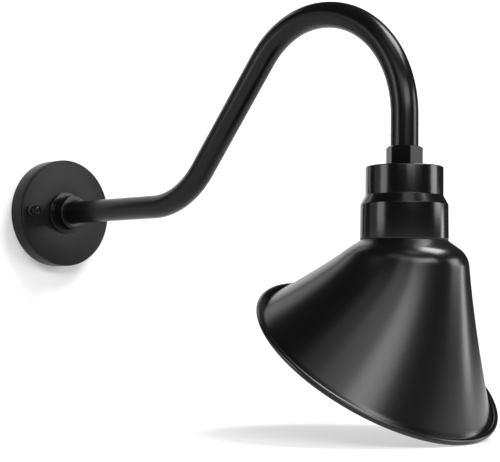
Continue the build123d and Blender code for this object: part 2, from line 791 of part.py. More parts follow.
# ---- socket strap: flat steel strap that hangs the socket from the cap's pillars ----
with BuildPart() as socket_strap:
    with BuildSketch(level_plane(socket_top_z)):
        SlotCenterToCenter(pillar_spacing, strap_width)
        with Locations((-pillar_spacing / 2, 0), (pillar_spacing / 2, 0)):
            Circle(strap_screw_radius + strap_play, mode=Mode.SUBTRACT)
        with Locations((-rivet_spacing / 2, 0), (rivet_spacing / 2, 0)):
            Circle(rivet_radius + screw_fit, mode=Mode.SUBTRACT)
    extrude(amount=strap_thickness)
save(socket_strap.part, "socket_strap")

with BuildPart() as strap_screws:
    with BuildSketch(level_plane(socket_top_z)):
        with Locations((-pillar_spacing / 2, 0), (pillar_spacing / 2, 0)):
            Circle(strap_screw_radius)
    extrude(amount=strap_thickness + strap_screw_length)
    with BuildSketch(level_plane(socket_top_z)):
        with Locations((-pillar_spacing / 2, 0), (pillar_spacing / 2, 0)):
            Circle(strap_screw_head_radius)
    extrude(amount=-strap_screw_head_height)
    chamfer(strap_screws.faces().filter_by(Axis.Z).group_by(Axis.Z)[0].edges(), strap_screw_edge)
save(strap_screws.part, "strap_screws")

# ---- socket body: glazed porcelain, with a stepped top and a deep round cavity ----
with BuildPart() as socket_body:
    with BuildSketch(head_section):
        with BuildLine():
            Polyline(
                (0, socket_top_z),
                (socket_radius - socket_shoulder, socket_top_z),
                (socket_radius, socket_top_z - socket_shoulder),
                (socket_radius, socket_mouth_z + socket_lip),
                (socket_radius - socket_lip, socket_mouth_z),
                (socket_cavity_radius, socket_mouth_z),
                (socket_cavity_radius, socket_floor_z),
                (0, socket_floor_z),
                close=True,
            )
        make_face()
    revolve(axis=head_axis)
    with BuildSketch(level_plane(socket_top_z)):
        with Locations((0, -terminal_offset), (0, terminal_offset)):
            Circle(terminal_screw_radius + screw_fit)
    extrude(amount=-(terminal_screw_length + terminal_hole_gap), mode=Mode.SUBTRACT)
    with BuildSketch(level_plane(socket_top_z)):
        with Locations((-rivet_spacing / 2, 0), (rivet_spacing / 2, 0)):
            Circle(rivet_radius + screw_fit)
    extrude(amount=socket_floor_z - socket_top_z - cut_margin, mode=Mode.SUBTRACT)
save(socket_body.part, "socket_body")

# ---- socket rivets: hold the strap on the porcelain ----
with BuildPart() as socket_rivets:
    with BuildSketch(level_plane(socket_floor_z)):
        with Locations((-rivet_spacing / 2, 0), (rivet_spacing / 2, 0)):
            Circle(rivet_radius)
    extrude(amount=strap_top_z - socket_floor_z)
    with BuildSketch(level_plane(strap_top_z)):
        with Locations((-rivet_spacing / 2, 0), (rivet_spacing / 2, 0)):
            Circle(rivet_head_radius)
    extrude(amount=rivet_head_height)
    with BuildSketch(level_plane(socket_floor_z)):
        with Locations((-rivet_spacing / 2, 0), (rivet_spacing / 2, 0)):
            Circle(rivet_head_radius)
    extrude(amount=-rivet_head_height)
save(socket_rivets.part, "socket_rivets")

# ---- screw shell: metal sleeve for a medium screw base ----
with BuildPart() as socket_shell:
    with BuildSketch(level_plane(shell_mouth_z)):
        Circle(shell_inner_radius + shell_wall)
        Circle(shell_inner_radius, mode=Mode.SUBTRACT)
    extrude(amount=shell_top_z - shell_mouth_z)
save(socket_shell.part, "socket_shell")

# ---- terminal screws on the socket's top, each beside its lead ----
for side, screw_name in ((1, "hot_terminal"), (-1, "neutral_terminal")):
    screw_y = side * terminal_offset
    with BuildPart() as terminal_screw:
        with BuildSketch(level_plane(socket_top_z, head_x, screw_y)):
            Circle(terminal_screw_radius)
        extrude(amount=-terminal_screw_length)
        with BuildSketch(level_plane(socket_top_z, head_x, screw_y)):
            Circle(terminal_head_radius)
        extrude(amount=terminal_head_height)
        with BuildSketch(level_plane(socket_top_z + terminal_head_height, head_x, screw_y)):
            Rectangle(2 * terminal_head_radius, terminal_slot)
        extrude(amount=-terminal_slot, mode=Mode.SUBTRACT)
    save(terminal_screw.part, screw_name)

# ---- centre contact: sprung brass tongue that the lamp's tip presses up ----
tongue_plane = Plane(
    origin=(head_x, tongue_root_y, socket_floor_z - tongue_gap),
    x_dir=(1, 0, 0),
    z_dir=(0, -sin(radians(tongue_droop)), -cos(radians(tongue_droop))),
)
with BuildPart() as centre_contact:
    with BuildSketch(tongue_plane):
        with Locations((0, -tongue_length / 2)):
            RectangleRounded(tongue_width, tongue_length, tongue_corner)
    extrude(amount=tongue_thickness)
save(centre_contact.part, "centre_contact")

# ---- socket leads: from the arm's end, out over the strap and down beside each terminal ----
lead_reach_z = lead_end_z - socket_lead_gap
lead_level_z = (lead_reach_z + strap_top_z) / 2 - socket_lead_drop
beside_x = -(terminal_head_radius + lead_radius + socket_lead_play)
with BuildPart() as socket_leads:
    for side in (-1, 1):
        with BuildLine() as route:
            FilletPolyline(
                (head_x + lead_low, side * lead_side, lead_reach_z),
                (head_x + lead_low, side * lead_side, lead_level_z),
                (head_x + beside_x, side * terminal_offset, lead_level_z),
                (head_x + beside_x, side * terminal_offset, socket_top_z + socket_lead_play),
                radius=socket_lead_bend,
            )
        with BuildSketch(level_plane(lead_reach_z, head_x + lead_low, side * lead_side)):
            Circle(lead_radius)
        sweep(path=route.wires()[0])
save(socket_leads.part, "socket_leads")
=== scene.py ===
from math import asin, atan2, cos, degrees, hypot, pi, radians, sin, sqrt, tan

import bmesh
import bpy
from mathutils import Matrix, Vector


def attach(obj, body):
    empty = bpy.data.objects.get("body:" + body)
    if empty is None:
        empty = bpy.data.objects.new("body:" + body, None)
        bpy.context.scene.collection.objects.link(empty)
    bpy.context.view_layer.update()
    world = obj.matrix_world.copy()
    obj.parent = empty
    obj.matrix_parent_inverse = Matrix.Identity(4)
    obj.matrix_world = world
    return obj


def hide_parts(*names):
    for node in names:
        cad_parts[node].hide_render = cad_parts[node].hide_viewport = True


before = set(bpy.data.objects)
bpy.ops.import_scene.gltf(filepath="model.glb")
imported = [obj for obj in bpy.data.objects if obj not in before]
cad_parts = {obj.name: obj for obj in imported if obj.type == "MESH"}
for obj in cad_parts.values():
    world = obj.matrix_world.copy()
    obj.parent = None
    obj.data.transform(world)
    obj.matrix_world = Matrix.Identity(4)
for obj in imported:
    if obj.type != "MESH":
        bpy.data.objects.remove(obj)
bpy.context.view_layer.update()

# ---- wall gasket ----
# The real piece is a ring cut from closed-cell foam rubber sheet, 1.6 mm thick.
# It lies between the canopy's rim and the wall, and the two ball nuts squeeze it flat.
MM = 0.001
gasket_inner, gasket_outer, gasket_thick, gasket_edge = 58.2, 64.0, 1.6, 0.25


def stand(origin, across, side, up):
    """The place and directions that an outline is spun in, in millimetres."""
    return Vector(origin), Vector(across), Vector(side), Vector(up)


def on(place, across, side, up):
    """A point at three distances along a place's directions."""
    origin, a, b, c = place
    return origin + a * across + b * side + c * up


def soften(corners, steps=5):
    """Rounds the corners of a closed outline. Each corner is (across, up, radius)."""
    outline = []
    for i, (x, y, radius) in enumerate(corners):
        here = Vector((x, y))
        if radius <= 0:
            outline.append((x, y))
            continue
        before = (Vector(corners[i - 1][:2]) - here).normalized()
        after = (Vector(corners[(i + 1) % len(corners)][:2]) - here).normalized()
        angle = before.angle(after)
        reach = radius / tan(angle / 2)
        centre = here + (before + after).normalized() * (radius / sin(angle / 2))
        start = here + before * reach - centre
        end = here + after * reach - centre
        sweep = start.angle(end)
        for k in range(steps + 1):
            t = k / steps
            arm = (start * sin((1 - t) * sweep) + end * sin(t * sweep)) / sin(sweep)
            outline.append(tuple(centre + arm))
    return outline


def skin(name, rings, sharp=32, ends_meet=True):
    """One closed surface over a row of closed rings of points, given in millimetres."""
    mesh = bmesh.new()
    rows = [[mesh.verts.new(Vector(p) * MM) for p in ring] for ring in rings]
    around = len(rows[0])
    count = len(rows) if ends_meet else len(rows) - 1
    for i in range(count):
        near, far = rows[i], rows[(i + 1) % len(rows)]
        for j in range(around):
            k = (j + 1) % around
            mesh.faces.new((near[j], near[k], far[k], far[j]))
    if not ends_meet:
        mesh.faces.new(rows[0])
        mesh.faces.new(rows[-1])
    weld_gap = 0.0001
    bmesh.ops.remove_doubles(mesh, verts=mesh.verts, dist=weld_gap * MM)
    bmesh.ops.recalc_face_normals(mesh, faces=mesh.faces)
    data = bpy.data.meshes.new(name)
    mesh.to_mesh(data)
    mesh.free()
    data.shade_smooth()
    data.set_sharp_from_angle(angle=radians(sharp))
    piece = bpy.data.objects.new(name, data)
    bpy.context.scene.collection.objects.link(piece)
    return piece


def spun(name, place, outline, turns):
    """A turned piece: an outline of (radius, height) spun about its place's up direction."""
    rings = []
    for k in range(turns):
        angle = 2 * pi * k / turns
        rings.append([on(place, r * cos(angle), r * sin(angle), h) for r, h in outline])
    return skin(name, rings)


def fit(piece, body, slot, paint, *nodes):
    """Gives a piece its body and its finish, and hides the frame's solids that it stands for."""
    piece.data.materials.append(paint)
    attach(piece, body)
    if nodes:
        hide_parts(*nodes)


def node_group(name, inputs, outputs):
    """An empty shader group with named sockets. Each socket is (name, kind, value)."""
    group = bpy.data.node_groups.new(name, "ShaderNodeTree")
    for label, kind, value in inputs:
        socket = group.interface.new_socket(label, in_out="INPUT", socket_type=kind)
        socket.default_value = value
    for label, kind, value in outputs:
        group.interface.new_socket(label, in_out="OUTPUT", socket_type=kind)
    return group, group.nodes.new("NodeGroupInput"), group.nodes.new("NodeGroupOutput")


def add(tree, kind, **values):
    """A node with its settings and socket values. Socket names are written with spaces as _."""
    node = tree.nodes.new(kind)
    for label, value in values.items():
        if hasattr(node, label):
            setattr(node, label, value)
        else:
            node.inputs[label.replace("_", " ")].default_value = value
    return node


def speckle_group():
    """Fine colour and roughness speckle with a matching height."""
    group, given, result = node_group(
        "speckle",
        [("Colour", "NodeSocketColor", (0.5, 0.5, 0.5, 1)),
         ("Second Colour", "NodeSocketColor", (0.4, 0.4, 0.4, 1)),
         ("Scale", "NodeSocketFloat", 400.0), ("Roughness", "NodeSocketFloat", 0.5),
         ("Roughness Spread", "NodeSocketFloat", 0.1)],
        [("Colour", "NodeSocketColor", None), ("Roughness", "NodeSocketFloat", None),
         ("Height", "NodeSocketFloat", None)])
    where = add(group, "ShaderNodeTexCoord")
    grain = add(group, "ShaderNodeTexNoise", Detail=3.0)
    cloud = add(group, "ShaderNodeTexNoise", Detail=2.0, Scale=22.0)
    blend = add(group, "ShaderNodeMix", data_type="RGBA")
    amount = add(group, "ShaderNodeMath", operation="MULTIPLY")
    swing = add(group, "ShaderNodeMath", operation="SUBTRACT")
    spread = add(group, "ShaderNodeMath", operation="MULTIPLY")
    total = add(group, "ShaderNodeMath", operation="ADD")
    link = group.links.new
    swing.inputs[1].default_value = 0.5
    link(where.outputs["Object"], grain.inputs["Vector"])
    link(where.outputs["Object"], cloud.inputs["Vector"])
    link(given.outputs["Scale"], grain.inputs["Scale"])
    link(grain.outputs["Fac"], amount.inputs[0])
    link(cloud.outputs["Fac"], amount.inputs[1])
    link(amount.outputs[0], blend.inputs["Factor"])
    link(given.outputs["Colour"], blend.inputs["A"])
    link(given.outputs["Second Colour"], blend.inputs["B"])
    link(grain.outputs["Fac"], swing.inputs[0])
    link(swing.outputs[0], spread.inputs[0])
    link(given.outputs["Roughness Spread"], spread.inputs[1])
    link(spread.outputs[0], total.inputs[0])
    link(given.outputs["Roughness"], total.inputs[1])
    link(blend.outputs["Result"], result.inputs["Colour"])
    link(total.outputs[0], result.inputs["Roughness"])
    link(grain.outputs["Fac"], result.inputs["Height"])
    return group


speckle = speckle_group()


def speckled(name, colour, second, scale, roughness, spread, depth, metal=0.0):
    """Sheet, foam, rubber, porcelain or plastic speckled in two colours. The depth is in millimetres."""
    paint = bpy.data.materials.new(name)
    paint.use_nodes = True
    tree = paint.node_tree
    shader = tree.nodes["Principled BSDF"]
    shader.inputs["Metallic"].default_value = metal
    grain = add(tree, "ShaderNodeGroup")
    grain.node_tree = speckle
    grain.inputs["Colour"].default_value = (*colour, 1)
    grain.inputs["Second Colour"].default_value = (*second, 1)
    grain.inputs["Scale"].default_value = scale
    grain.inputs["Roughness"].default_value = roughness
    grain.inputs["Roughness Spread"].default_value = spread
    bump = add(tree, "ShaderNodeBump", Strength=0.4, Distance=depth * MM)
    tree.links.new(grain.outputs["Colour"], shader.inputs["Base Color"])
    tree.links.new(grain.outputs["Roughness"], shader.inputs["Roughness"])
    tree.links.new(grain.outputs["Height"], bump.inputs["Height"])
    tree.links.new(bump.outputs["Normal"], shader.inputs["Normal"])
    return paint


foam = speckled("foam_rubber", (0.012, 0.012, 0.013), (0.035, 0.035, 0.036),
                scale=900, roughness=0.86, spread=0.15, depth=0.3)
wall_stand = stand((0, 0, 0), (0, 1, 0), (0, 0, 1), (1, 0, 0))
gasket_outline = soften([
    (gasket_inner, 0, gasket_edge), (gasket_outer, 0, gasket_edge),
    (gasket_outer, gasket_thick, gasket_edge), (gasket_inner, gasket_thick, gasket_edge)], 3)
gasket = spun("wall_gasket_ring", wall_stand, gasket_outline, 160)
fit(gasket, "wall_arm", "foam_rubber", foam, "wall_gasket")

# ---- canopy ----
# A cup drawn from 1.3 mm steel sheet that covers the outlet box, with a pressed line behind its face.
# It is powder coated in a soft matt black, and has a hole for the arm and one for each stud.
canopy_radius, canopy_back, canopy_face, canopy_sheet = 64.2, gasket_thick, 23.8, 1.3
groove_back, groove_width, groove_depth, groove_edge = 20.0, 1.6, 0.95, 0.12
arm_hole = 13.35


def paint_group():
    """Baked paint: a faint ripple from spraying, softer and rougher patches, and thin dust."""
    group, given, result = node_group(
        "baked_paint",
        [("Colour", "NodeSocketColor", (0.02, 0.02, 0.02, 1)),
         ("Dust Colour", "NodeSocketColor", (0.3, 0.3, 0.3, 1)),
         ("Dust", "NodeSocketFloat", 0.03), ("Roughness", "NodeSocketFloat", 0.3),
         ("Patches", "NodeSocketFloat", 0.05), ("Ripple Scale", "NodeSocketFloat", 300.0)],
        [("Colour", "NodeSocketColor", None), ("Roughness", "NodeSocketFloat", None),
         ("Height", "NodeSocketFloat", None)])
    where = add(group, "ShaderNodeTexCoord")
    shape = add(group, "ShaderNodeNewGeometry")
    ripple = add(group, "ShaderNodeTexNoise", Detail=1.0)
    patch = add(group, "ShaderNodeTexNoise", Detail=3.0, Scale=14.0)
    facing = add(group, "ShaderNodeSeparateXYZ")
    upward = add(group, "ShaderNodeMath", operation="MAXIMUM")
    amount = add(group, "ShaderNodeMath", operation="MULTIPLY")
    broken = add(group, "ShaderNodeMath", operation="MULTIPLY")
    blend = add(group, "ShaderNodeMix", data_type="RGBA")
    swing = add(group, "ShaderNodeMath", operation="SUBTRACT")
    spread = add(group, "ShaderNodeMath", operation="MULTIPLY")
    total = add(group, "ShaderNodeMath", operation="ADD")
    link = group.links.new
    upward.inputs[1].default_value = 0.0
    swing.inputs[1].default_value = 0.5
    link(where.outputs["Object"], ripple.inputs["Vector"])
    link(where.outputs["Object"], patch.inputs["Vector"])
    link(given.outputs["Ripple Scale"], ripple.inputs["Scale"])
    link(shape.outputs["Normal"], facing.inputs[0])
    link(facing.outputs["Z"], upward.inputs[0])
    link(upward.outputs[0], amount.inputs[0])
    link(given.outputs["Dust"], amount.inputs[1])
    link(amount.outputs[0], broken.inputs[0])
    link(patch.outputs["Fac"], broken.inputs[1])
    link(broken.outputs[0], blend.inputs["Factor"])
    link(given.outputs["Colour"], blend.inputs["A"])
    link(given.outputs["Dust Colour"], blend.inputs["B"])
    link(patch.outputs["Fac"], swing.inputs[0])
    link(swing.outputs[0], spread.inputs[0])
    link(given.outputs["Patches"], spread.inputs[1])
    link(spread.outputs[0], total.inputs[0])
    link(given.outputs["Roughness"], total.inputs[1])
    link(blend.outputs["Result"], result.inputs["Colour"])
    link(total.outputs[0], result.inputs["Roughness"])
    link(ripple.outputs["Fac"], result.inputs["Height"])
    return group


baked_paint = paint_group()


def painted(name, colour, roughness, patches, dust, ripple, depth, shine):
    """A baked black paint. The ripple has a scale and a depth in millimetres. More shine reflects more."""
    paint = bpy.data.materials.new(name)
    paint.use_nodes = True
    tree = paint.node_tree
    shader = tree.nodes["Principled BSDF"]
    shader.inputs["Specular IOR Level"].default_value = shine
    layer = add(tree, "ShaderNodeGroup")
    layer.node_tree = baked_paint
    layer.inputs["Colour"].default_value = (*colour, 1)
    layer.inputs["Dust"].default_value = dust
    layer.inputs["Roughness"].default_value = roughness
    layer.inputs["Patches"].default_value = patches
    layer.inputs["Ripple Scale"].default_value = ripple
    bump = add(tree, "ShaderNodeBump", Strength=0.5, Distance=depth * MM)
    tree.links.new(layer.outputs["Colour"], shader.inputs["Base Color"])
    tree.links.new(layer.outputs["Roughness"], shader.inputs["Roughness"])
    tree.links.new(layer.outputs["Height"], bump.inputs["Height"])
    tree.links.new(bump.outputs["Normal"], shader.inputs["Normal"])
    return paint


matt_black = painted("matt_black_paint", (0.004, 0.004, 0.0043), roughness=0.3, patches=0.06,
                     dust=0.006, ripple=420, depth=0.01, shine=0.13)
# The seals cover the two stud holes, so the outline leaves them out.
canopy_outline = soften([
    (arm_hole, canopy_face - canopy_sheet, 0.1),
    (canopy_radius - canopy_sheet, canopy_face - canopy_sheet, 0.6),
    (canopy_radius - canopy_sheet, canopy_back, 0.15), (canopy_radius, canopy_back, 0.3),
    (canopy_radius, groove_back, 0.15),
    (canopy_radius - groove_depth, groove_back + groove_edge, groove_edge),
    (canopy_radius - groove_depth, groove_back + groove_width - groove_edge, groove_edge),
    (canopy_radius, groove_back + groove_width, 0.15),
    (canopy_radius, canopy_face, 1.3), (arm_hole, canopy_face, 0.1)])
canopy = spun("canopy_cup", wall_stand, canopy_outline, 192)
fit(canopy, "wall_arm", "black_paint", matt_black, "canopy")

# ---- mounting bar ----
# A cross stamped from 2 mm steel and zinc plated, screwed to the outlet box through its two slots.
# Its tapped holes hold the studs and the ground screw, and a wide hole in the middle passes the wires.


def dressed(node, paint):
    """Gives a solid of the frame a better finish and leaves its shape."""
    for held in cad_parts[node].material_slots:
        held.material = paint


zinc = speckled("zinc_plate", (0.56, 0.57, 0.58), (0.44, 0.45, 0.47),
                scale=260, roughness=0.34, spread=0.16, depth=0.02, metal=1.0)
dressed("mounting_bar", zinc)

# ---- canopy studs ----
# Two rods with a rolled 8-32 thread and a light zinc plate, turned into the bar's tapped holes.
# Their free ends stand through the canopy and carry the seals and the ball nuts.
stud_root, stud_crest, stud_pitch, stud_length, stud_offset = 1.62, 2.05, 0.794, 31.2, 50.8
stud_stands = {label: stand((0, side * stud_offset, 0), (0, 1, 0), (0, 0, 1), (1, 0, 0))
               for label, side in (("left", -1), ("right", 1))}


def round_ring(place, radius, height, around):
    """A plain circle of points about a place's up direction."""
    return [on(place, radius * cos(2 * pi * j / around), radius * sin(2 * pi * j / around), height)
            for j in range(around)]


def threaded(name, place, root, crest, pitch, length, around=24, steps=8):
    """A rod with a thread: the radius climbs and falls once for each turn of the pitch."""
    tip_taper, root_taper, root_share, end_share = 0.6, 0.4, 0.2, 0.4
    rings = [round_ring(place, end_share * root, 0, around)]
    count = int(length / pitch * steps)
    for i in range(count + 1):
        h = length * i / count
        taper = min(1.0, (length - h) / tip_taper, h / root_taper + root_share)
        ring = []
        for j in range(around):
            angle = 2 * pi * j / around
            phase = (h / pitch - j / around) % 1.0
            r = root + (crest - root) * taper * (1 - abs(2 * phase - 1))
            ring.append(on(place, r * cos(angle), r * sin(angle), h))
        rings.append(ring)
    return skin(name, rings, 60, ends_meet=False)


for label, place in stud_stands.items():
    stud = threaded("canopy_stud_" + label, place, stud_root, stud_crest, stud_pitch, stud_length)
    fit(stud, "wall_arm", "zinc_steel", zinc, "canopy_studs")

# ---- stud seals ----
# Two small washers punched from black rubber, one on each stud between the canopy and its ball nut.
# They keep rain out of the stud holes and stop the nuts from marking the paint.
# A seal ends 0.02 mm short of its ball nut, so that the two never share a face as the nut turns.
seal_bore, seal_radius, seal_thick = 2.15, 6.0, 0.98
seal_front = canopy_face + seal_thick
rubber = speckled("seal_rubber", (0.01, 0.01, 0.01), (0.02, 0.02, 0.021),
                  scale=500, roughness=0.7, spread=0.12, depth=0.05)
seal_outline = soften([
    (seal_bore, canopy_face, 0.1), (seal_radius, canopy_face, 0.2),
    (seal_radius, seal_front, 0.35), (seal_bore, seal_front, 0.1)], 4)
for label, place in stud_stands.items():
    seal = spun("stud_seal_" + label, place, seal_outline, 64)
    fit(seal, "wall_arm", "foam_rubber", rubber, "stud_seals")

# ---- ball nuts ----
# Two cap nuts turned from brass bar to a ball on a short neck, tapped from the back and enamelled black.
# Fingers turn them on the studs until the canopy sits tight against its gasket.
ball_back, ball_neck, ball_neck_length, ball_radius, ball_steps = 24.8, 4.2, 1.6, 6.0, 32
ball_bore, ball_bore_depth, ball_chamfer = 2.1, 7.0, 0.2
ball_bore_end = ball_back + ball_bore_depth
ball_centre = ball_back + ball_neck_length + sqrt(ball_radius**2 - ball_neck**2)
neck_angle, pole_angle, pole_radius = asin(ball_neck / ball_radius), 0.01, 0.02
gloss_black = painted("gloss_black_enamel", (0.002, 0.002, 0.0022), roughness=0.1, patches=0.02,
                      dust=0.002, ripple=260, depth=0.002, shine=0.14)
ball_outline = [
    (ball_bore, ball_back), (ball_neck - ball_chamfer, ball_back), (ball_neck, ball_back + ball_chamfer),
    (ball_neck, ball_back + ball_neck_length)]
for k in range(1, ball_steps + 1):
    polar = pi - neck_angle - (pi - neck_angle - pole_angle) * k / ball_steps
    ball_outline.append((ball_radius * sin(polar), ball_centre + ball_radius * cos(polar)))
ball_outline += [(pole_radius, ball_bore_end), (ball_bore, ball_bore_end)]
for label, place in stud_stands.items():
    ball = spun("ball_nut_" + label + "_body", place, ball_outline, 64)
    fit(ball, "nut_" + label, "gloss_black_enamel", gloss_black, "ball_nut_" + label)

# ---- ground screw and ring terminal ----
# A green hexagon head screw clamps the ring terminal of the ground lead to the bar.
# The terminal is pressed from tinned copper and crimped round the bared end of the lead.
green_zinc = speckled("green_screw_plate", (0.03, 0.16, 0.05), (0.05, 0.22, 0.08),
                      scale=300, roughness=0.36, spread=0.12, depth=0.02, metal=0.8)
tinned = speckled("tinned_copper", (0.62, 0.58, 0.52), (0.5, 0.47, 0.43),
                  scale=320, roughness=0.36, spread=0.14, depth=0.02, metal=1.0)
dressed("ground_screw", green_zinc)
dressed("ground_terminal", tinned)

# ---- hub collar and its set screw ----
# The collar is turned from steel with a thin base flange, painted satin black like the arm that it holds.
# A hexagon socket set screw in its underside bites on the arm so that the arm can't turn.
hub_flange, hub_flange_thick, hub_radius, hub_front = 25.5, 2.2, 20.6, 40.8
tube_hole = 13.06
hub_outline = soften([
    (tube_hole, canopy_face, 0.1), (hub_flange, canopy_face, 0.25),
    (hub_flange, canopy_face + hub_flange_thick, 0.95),
    (hub_radius, canopy_face + hub_flange_thick, 0.35),
    (hub_radius, hub_front, 1.1), (tube_hole, hub_front, 0.5)])
hub = spun("hub_collar_body", wall_stand, hub_outline, 160)
satin_black = painted("satin_black_paint", (0.003, 0.003, 0.0032), roughness=0.24, patches=0.05,
                      dust=0.006, ripple=420, depth=0.01, shine=0.2)
fit(hub, "wall_arm", "black_paint", satin_black, "hub_collar")
dressed("hub_set_screw", zinc)

# ---- washer, lock nut and bush behind the canopy ----
# A zinc plated washer and a lugged nut pull the arm and its collar tight on the canopy from behind.
# The black nylon bush in the arm's cut end keeps the leads off the steel edge.
washer_bore, washer_radius, washer_thick = 13.2, 22.0, 1.3
washer_front = canopy_face - canopy_sheet
washer_back = washer_front - washer_thick
washer = spun("hub_washer_plate", wall_stand, soften([
    (washer_bore, washer_back, 0.15), (washer_radius, washer_back, 0.3),
    (washer_radius, washer_front, 0.3), (washer_bore, washer_front, 0.15)], 3), 96)
fit(washer, "wall_arm", "zinc_steel", zinc, "hub_washer")
dressed("hub_lock_nut", zinc)
nylon = speckled("black_nylon", (0.012, 0.012, 0.012), (0.022, 0.022, 0.022),
                 scale=340, roughness=0.45, spread=0.1, depth=0.02)
bush_bore, bush_barrel, bush_length, bush_flange, bush_flange_thick = 8.75, 11.15, 8, 12.7, 1.2
bush_outline = soften([
    (bush_bore, -bush_flange_thick, 0.4), (bush_flange, -bush_flange_thick, 0.4), (bush_flange, 0, 0.15),
    (bush_barrel, 0, 0.1), (bush_barrel, bush_length, 0.3), (bush_bore, bush_length, 0.3)], 3)
arm_start = 13.6
hub_bush_stand = stand((arm_start, 0, 0), (0, 1, 0), (0, 0, 1), (1, 0, 0))
hub_bush = spun("hub_bush", hub_bush_stand, bush_outline, 72)
fit(hub_bush, "wall_arm", "black_plastic", nylon, "hub_bushing")

# ---- gooseneck arm ----
# One length of 26 mm steel tube, bent on a mandrel: out from the wall, up, over and straight down.
# It is painted satin black, and both ends are threaded for their nuts.
arm_radius, arm_bore, arm_around, bend_step = 13.0, 11.2, 72, 3.0
run_out, rise_radius, rise_angle, climb = 185.5, 100.0, radians(50.6), 141.0
front_crown, crown_flat, back_crown, arm_end = 95.0, 1.0, 110.5, -2.0


def arm_line(run_steps=12, drop_steps=10):
    """The arm's centreline as (x, z, heading). The heading is the angle above level."""
    line = [(arm_start + (run_out - arm_start) * k / run_steps, 0.0, 0.0) for k in range(run_steps)]
    x, z, heading = run_out, 0.0, 0.0
    for bend, radius, run in (
            (rise_angle, rise_radius, climb), (-rise_angle, front_crown, crown_flat),
            (-pi / 2, back_crown, 0.0)):
        turn = 1 if bend > 0 else -1
        cx = x - turn * radius * sin(heading)
        cz = z + turn * radius * cos(heading)
        steps = int(abs(bend) * radius / bend_step)
        for k in range(steps + 1):
            a = heading + bend * k / steps
            line.append((cx + turn * radius * sin(a), cz - turn * radius * cos(a), a))
        x, z, heading = line[-1]
        if run > bend_step:
            line += [(x + run * t * cos(heading), z + run * t * sin(heading), heading)
                     for t in (0.25, 0.5, 0.75)]
        x += run * cos(heading)
        z += run * sin(heading)
    line += [(x, z + (arm_end - z) * k / drop_steps, heading) for k in range(1, drop_steps + 1)]
    return line


route = arm_line()
head_x = route[-1][0]
arm_rings = []
for radius, order in ((arm_radius, route), (arm_bore, route[::-1])):
    for x, z, heading in order:
        onward, outward = (cos(heading), 0, sin(heading)), (-sin(heading), 0, cos(heading))
        arm_rings.append(round_ring(stand((x, 0, z), outward, (0, 1, 0), onward), radius, 0, arm_around))
arm = skin("gooseneck_tube", arm_rings, 40)
fit(arm, "wall_arm", "black_paint", satin_black, "gooseneck_arm")

# ---- bush in the arm's lower end ----
# The same nylon bush as at the wall, pushed up into the arm's lower cut end inside the cap.
# The three leads drop through it on their way to the lamp socket.
end_bush_stand = stand((head_x, 0, arm_end), (1, 0, 0), (0, 1, 0), (0, 0, 1))
end_bush = spun("arm_end_bush", end_bush_stand, bush_outline, 72)
fit(end_bush, "wall_arm", "black_plastic", nylon, "arm_end_bushing")

# ---- leads and splice caps ----
# Three fixture wires with a smooth extruded jacket: black for live, white for neutral, green for ground.
# They run from the canopy through the arm, and twist caps close the black and white ends.
black_jacket = speckled("black_jacket", (0.01, 0.01, 0.01), (0.018, 0.018, 0.018),
                        scale=240, roughness=0.3, spread=0.08, depth=0.02)
white_jacket = speckled("white_jacket", (0.72, 0.71, 0.68), (0.66, 0.65, 0.61),
                        scale=240, roughness=0.32, spread=0.08, depth=0.02)
green_jacket = speckled("green_jacket", (0.02, 0.17, 0.05), (0.03, 0.21, 0.07),
                        scale=240, roughness=0.32, spread=0.08, depth=0.02)
orange_cap = speckled("orange_splice_plastic", (0.72, 0.16, 0.02), (0.62, 0.13, 0.02),
                      scale=300, roughness=0.42, spread=0.1, depth=0.03)
dressed("lead_black", black_jacket)
dressed("lead_white", white_jacket)
dressed("lead_ground", green_jacket)
splice_mouth, splice_tip, splice_start, splice_length = 5.2, 3.2, 24.0, 20.0
splice_ribs, splice_around, splice_turn = 12, 96, radians(45)
lead_depth, lead_apart, lead_drop = 5.9, 2.6, 1.6
# From the lead's hole, round the mouth and along the ribs to the tip: (height, share of radius, rib depth).
splice_line = (
    (5.0, 0.27, 0), (0.0, 0.27, 0), (0.0, 0.9, 0), (0.5, 1.0, 0), (3.0, 1.0, 0), (3.6, 1.0, 0.35),
    (9.0, 1.0, 0.45), (15.5, 1.0, 0.4), (17.5, 1.0, 0.0), (19.4, 0.96, 0.0), (20.0, 0.8, 0.0))
for side, label in ((-1, "left"), (1, "right")):
    outward = Vector((0, side * cos(splice_turn), -sin(splice_turn)))
    lead_mouth = Vector((lead_depth, side * lead_apart, -lead_drop)) + outward * splice_start
    splice_stand = stand(lead_mouth, (1, 0, 0), outward.cross(Vector((1, 0, 0))), outward)
    rings = []
    for h, share, rib in splice_line:
        radius = (splice_mouth + (splice_tip - splice_mouth) * h / splice_length) * share
        ring = []
        for j in range(splice_around):
            angle = 2 * pi * j / splice_around
            r = radius - rib * (0.5 + 0.5 * cos(splice_ribs * angle))
            ring.append(on(splice_stand, r * cos(angle), r * sin(angle), h))
        rings.append(ring)
    splice = skin("splice_cap_" + label, rings, 50, ends_meet=False)
    fit(splice, "wall_arm", "orange_plastic", orange_cap, "splice_caps")

# ---- aim lock nut ----
# A thin-walled hexagon nut, 30.4 mm across its flats, painted satin black, with chamfered corners.
# It runs on the arm's end thread and jams down on the cap to keep the head's direction.
nut_flats, nut_low, nut_height, nut_turn = 30.4, 20.95, 19.0, 25.0
corner_round, flat_steps, corner_steps = 0.9, 10, 6
nut_top = nut_low + nut_height
top_edge, low_edge = nut_flats / 2 - 0.4, nut_flats / 2 - 0.3
top_slope, low_slope = tan(radians(30)), 0.6 * tan(radians(30))


